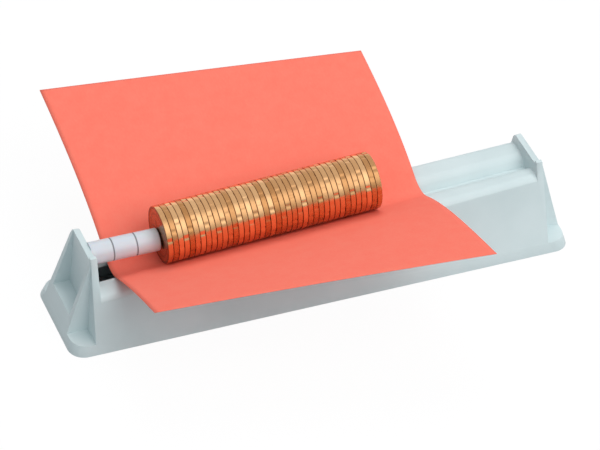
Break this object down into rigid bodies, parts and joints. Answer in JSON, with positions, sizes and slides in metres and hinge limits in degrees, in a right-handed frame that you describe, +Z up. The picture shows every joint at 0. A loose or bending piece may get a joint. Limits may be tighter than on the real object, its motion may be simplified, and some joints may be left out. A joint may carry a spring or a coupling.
{
  "type": "coin wrapping tray",
  "caption": "Moulded sloping trough that holds coins in a row against a stop pin while a paper sheet is rolled around them.",
  "frame": {"origin": "middle of the tray's underside, on the bottom of its middle cross rib", "axes": "+X along the trough towards its high end, +Y to the back, +Z up"},
  "size_m": [0.2036, 0.1519, 0.0543],
  "materials": {
    "tray_plastic": "injection moulded, satin",
    "pin_plastic": "moulded, satin",
    "sheet_paper": "dyed, uncoated",
    "coin_metal": "struck, slightly worn"
  },
  "bodies": {
    "tray": {"base_moulding": "tray_plastic", "stop_pin": "pin_plastic"},
    "wrapper": {"wrapper_sheet": "sheet_paper"},
    "coin_roll": {"coin_01": "coin_metal", "coin_02": "coin_metal", "coin_03": "coin_metal", "coin_04": "coin_metal", "coin_05": "coin_metal", "coin_06": "coin_metal", "coin_07": "coin_metal", "coin_08": "coin_metal", "coin_09": "coin_metal", "coin_10": "coin_metal", "coin_11": "coin_metal", "coin_12": "coin_metal", "coin_13": "coin_metal", "coin_14": "coin_metal", "coin_15": "coin_metal", "coin_16": "coin_metal", "coin_17": "coin_metal", "coin_18": "coin_metal", "coin_19": "coin_metal", "coin_20": "coin_metal", "coin_21": "coin_metal", "coin_22": "coin_metal", "coin_23": "coin_metal", "coin_24": "coin_metal", "coin_25": "coin_metal", "coin_26": "coin_metal", "coin_27": "coin_metal", "coin_28": "coin_metal", "coin_29": "coin_metal", "coin_30": "coin_metal", "coin_31": "coin_metal", "coin_32": "coin_metal", "coin_33": "coin_metal", "coin_34": "coin_metal", "coin_35": "coin_metal", "coin_36": "coin_metal", "coin_37": "coin_metal", "coin_38": "coin_metal", "coin_39": "coin_metal", "coin_40": "coin_metal"}
  },
  "joints": [
    {"name": "wrapper_slide", "type": "slide", "parent": "tray", "child": "wrapper", "axis": [0.9985, 0, 0.0541], "range_m": [0, 0.043]},
    {"name": "roll_turn", "type": "hinge", "parent": "wrapper", "child": "coin_roll", "pos_m": [-0.0617, 0, 0.0331], "axis": [0.9985, 0, 0.0541], "continuous": true}
  ]
}
